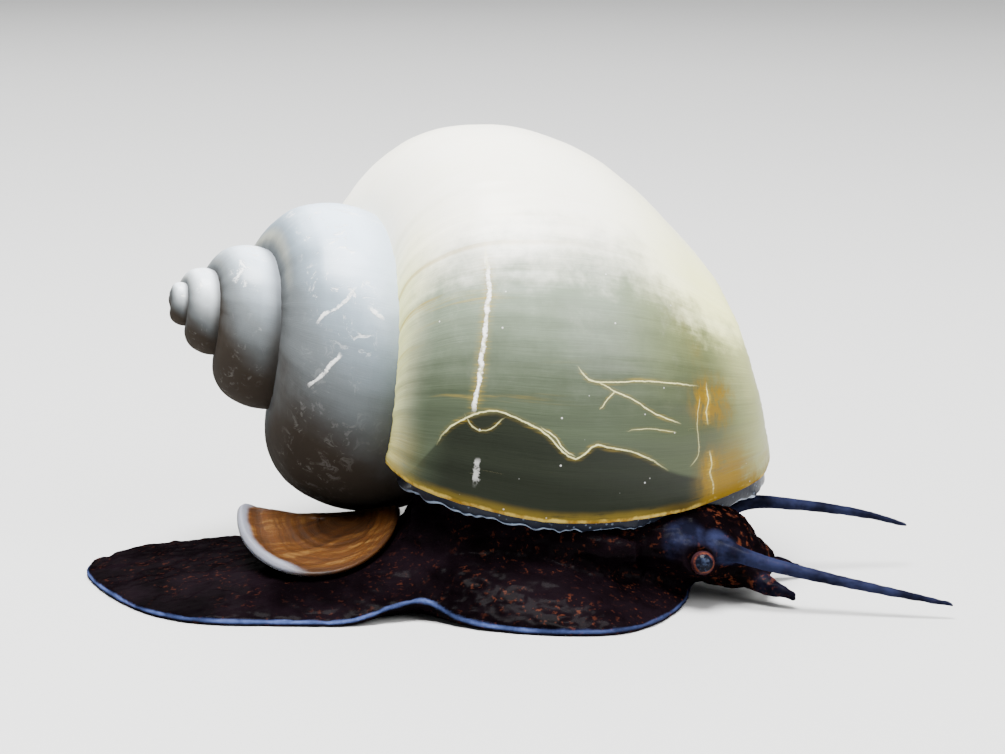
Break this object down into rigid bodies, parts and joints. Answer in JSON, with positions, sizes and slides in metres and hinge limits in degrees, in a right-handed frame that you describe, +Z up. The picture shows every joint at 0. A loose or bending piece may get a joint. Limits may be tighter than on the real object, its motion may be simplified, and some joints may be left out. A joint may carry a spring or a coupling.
{
  "type": "apple snail",
  "caption": "Life-size crawling apple snail with a right-handed spiral shell, a spread foot, a raised operculum on its back and long tapered tentacles.",
  "frame": {"origin": "on the floor under the middle of the foot's sole", "axes": "+X towards the head, +Z up, +Y the snail's left"},
  "size_m": [0.0618, 0.0389, 0.0321],
  "materials": {
    "shell": "glossy ivory shell with fine growth lines",
    "spire": "blue-grey worn shell",
    "mantle": "translucent bluish soft skin",
    "foot": "wet plum-black skin with rust flecks",
    "head": "wet dark skin with orange flecks",
    "feeler": "wet slate-blue skin",
    "eye": "clear glossy orange ring round a dark pupil",
    "operculum": "horny brown-orange with rings"
  },
  "bodies": {
    "root": {"shell_body_whorl": "shell", "shell_penultimate_whorl": "spire", "shell_spire": "spire", "mantle_collar": "mantle", "operculum": "operculum", "foot_tail": "foot", "foot_middle": "foot", "foot_front": "foot", "neck": "foot", "head": "head", "snout": "head", "eye_right": "eye", "eye_left": "eye", "eye_stalk_right": "head", "eye_stalk_left": "head", "labial_palp_right": "head", "labial_palp_left": "head", "tentacle_right_base": "feeler", "tentacle_right_middle": "feeler", "tentacle_right_tip": "feeler", "tentacle_left_base": "feeler", "tentacle_left_middle": "feeler", "tentacle_left_tip": "feeler", "nuchal_lobe_right": "head", "siphon": "head"}
  },
  "joints": []
}
